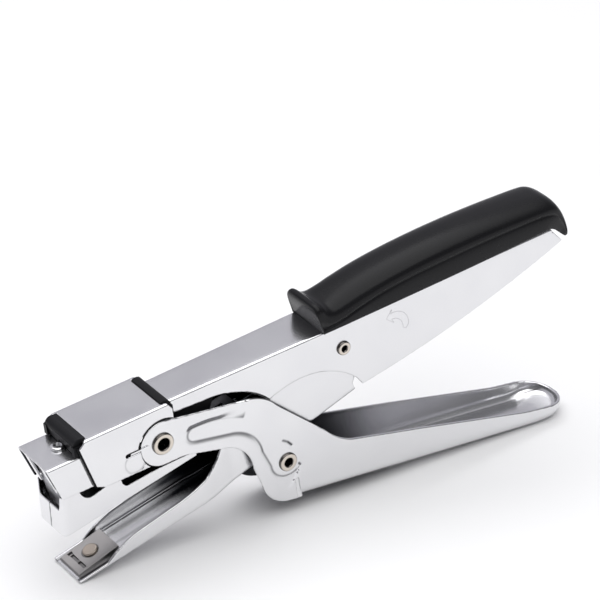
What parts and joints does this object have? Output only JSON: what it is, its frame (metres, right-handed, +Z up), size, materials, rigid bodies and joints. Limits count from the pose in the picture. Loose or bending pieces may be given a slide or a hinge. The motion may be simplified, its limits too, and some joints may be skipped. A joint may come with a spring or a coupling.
{
  "type": "plier stapler",
  "caption": "Hand-held plier stapler in bright pressed steel with a black moulded grip, hinged clincher arm, rising magazine and curved squeeze lever.",
  "frame": {"origin": "floor level, under the middle of the overall box", "axes": "+X towards the grip's tail, +Y across to the side of the far cheek, +Z up from the floor"},
  "size_m": [0.1834, 0.02, 0.0762],
  "materials": {
    "bright_steel": "satin",
    "dark_steel": "satin",
    "spring_steel": "satin",
    "black_plastic": "gloss",
    "black_trim": "satin",
    "staple_wire": "satin"
  },
  "bodies": {
    "handle": {"upper_handle_channel": "bright_steel", "grip_cover": "black_plastic", "head_cap": "bright_steel", "head_liner": "black_trim", "guide_liner": "black_trim", "nose_housing": "bright_steel", "driver_blade": "dark_steel", "driver_rivet": "bright_steel", "driver_block": "dark_steel", "head_rivets": "bright_steel", "front_pivot_rivet": "bright_steel", "front_pivot_spacers": "bright_steel", "rear_pivot_rivet": "bright_steel", "rear_pivot_sleeve": "bright_steel", "opening_spring": "spring_steel", "magazine_return_spring": "spring_steel"},
    "magazine": {"magazine_channel": "bright_steel", "magazine_shroud": "bright_steel", "staple_rail": "bright_steel", "staple_strip": "staple_wire", "pusher_rod": "spring_steel", "pusher_spring": "spring_steel"},
    "pusher": {"staple_pusher": "dark_steel"},
    "clincher": {"clincher_arm": "bright_steel", "anvil_plate": "bright_steel", "anvil_rivet": "bright_steel"},
    "lever": {"squeeze_lever": "bright_steel", "cam_rivet": "bright_steel", "cam_sleeve": "dark_steel"}
  },
  "joints": [
    {"name": "lever_hinge", "type": "hinge", "parent": "handle", "child": "lever", "pos_m": [-0.05446, 0, 0.03825], "axis": [0, -1, 0], "range_deg": [0, 8], "stiffness_Nm_per_rad": 1, "springref_deg": -28.65},
    {"name": "clincher_hinge", "type": "hinge", "parent": "handle", "child": "clincher", "pos_m": [0.00765, 0, 0.0493], "axis": [0, 1, 0], "range_deg": [0, 11.6], "deforming": ["opening_spring"]},
    {"name": "magazine_hinge", "type": "hinge", "parent": "handle", "child": "magazine", "pos_m": [0.00765, 0, 0.0493], "axis": [0, 1, 0], "range_deg": [0, 3.2], "deforming": ["magazine_return_spring"]},
    {"name": "pusher_slide", "type": "slide", "parent": "magazine", "child": "pusher", "axis": [0.9613, 0, 0.2756], "range_m": [0, 0.016], "stiffness_N_per_m": 60, "springref_m": -0.01, "deforming": ["pusher_spring"]}
  ],
  "couplings": [
    {"joint": "clincher_hinge", "follows": "lever_hinge", "ratio": 1.45},
    {"joint": "magazine_hinge", "follows": "lever_hinge", "ratio": 0.4}
  ]
}
